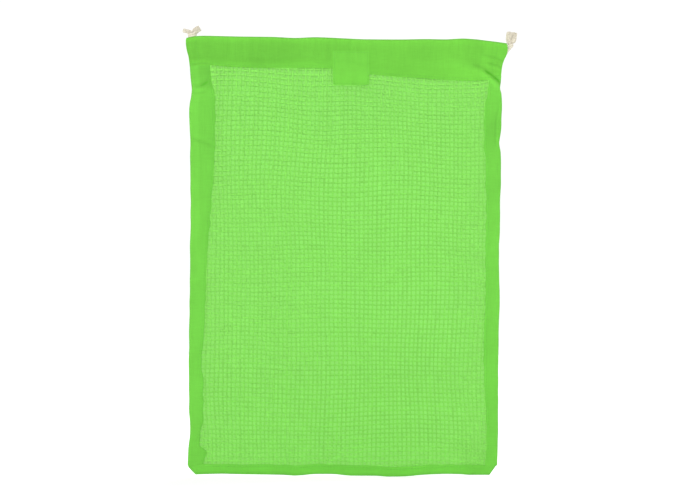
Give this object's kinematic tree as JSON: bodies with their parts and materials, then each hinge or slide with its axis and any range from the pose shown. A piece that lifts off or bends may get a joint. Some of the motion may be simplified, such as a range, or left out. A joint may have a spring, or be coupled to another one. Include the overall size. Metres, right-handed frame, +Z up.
{
  "type": "mesh drawstring bag",
  "caption": "Flat cotton drawstring bag with a net front, plain back, bound edges, a folded casing and double drawcords knotted at each top corner.",
  "frame": {"origin": "middle of the bottom edge, on the plane of the back", "axes": "+Z up to the mouth, +X to the right seen from the front, the front faces -Y"},
  "size_m": [0.3201, 0.0144, 0.4313],
  "materials": {
    "net_cloth": "open cotton net, matt",
    "back_cloth": "thin plain-woven cotton, matt",
    "band_cloth": "plain-woven cotton, matt",
    "casing_cloth": "plain-woven cotton, folded double, matt",
    "label_cloth": "plain-woven cotton, matt",
    "thread": "matt sewing thread",
    "cord": "twisted undyed cotton"
  },
  "bodies": {
    "bag": {"back_panel": "back_cloth", "front_mesh_panel": "net_cloth", "left_side_band": "band_cloth", "right_side_band": "band_cloth", "bottom_band": "band_cloth", "front_casing": "casing_cloth", "back_casing": "casing_cloth", "label_patch": "label_cloth", "front_casing_stitching": "thread", "back_casing_stitching": "thread", "left_band_stitching": "thread", "right_band_stitching": "thread", "bottom_band_stitching": "thread", "back_seam_stitching": "thread", "label_stitching": "thread"},
    "left_cord": {"left_cord": "cord", "left_knot": "cord", "left_cord_tails": "cord", "right_casing_end": "casing_cloth", "right_end_stitching": "thread"},
    "right_cord": {"right_cord": "cord", "right_knot": "cord", "right_cord_tails": "cord", "left_casing_end": "casing_cloth", "left_end_stitching": "thread"}
  },
  "joints": [
    {"name": "left_cord_pull", "type": "slide", "parent": "bag", "child": "left_cord", "axis": [-1, 0, 0], "range_m": [0, 0.115], "deforming": ["front_casing", "back_casing", "front_casing_stitching", "back_casing_stitching"]},
    {"name": "right_cord_pull", "type": "slide", "parent": "bag", "child": "right_cord", "axis": [1, 0, 0], "range_m": [0, 0.115], "deforming": ["front_casing", "back_casing", "front_casing_stitching", "back_casing_stitching"]}
  ]
}
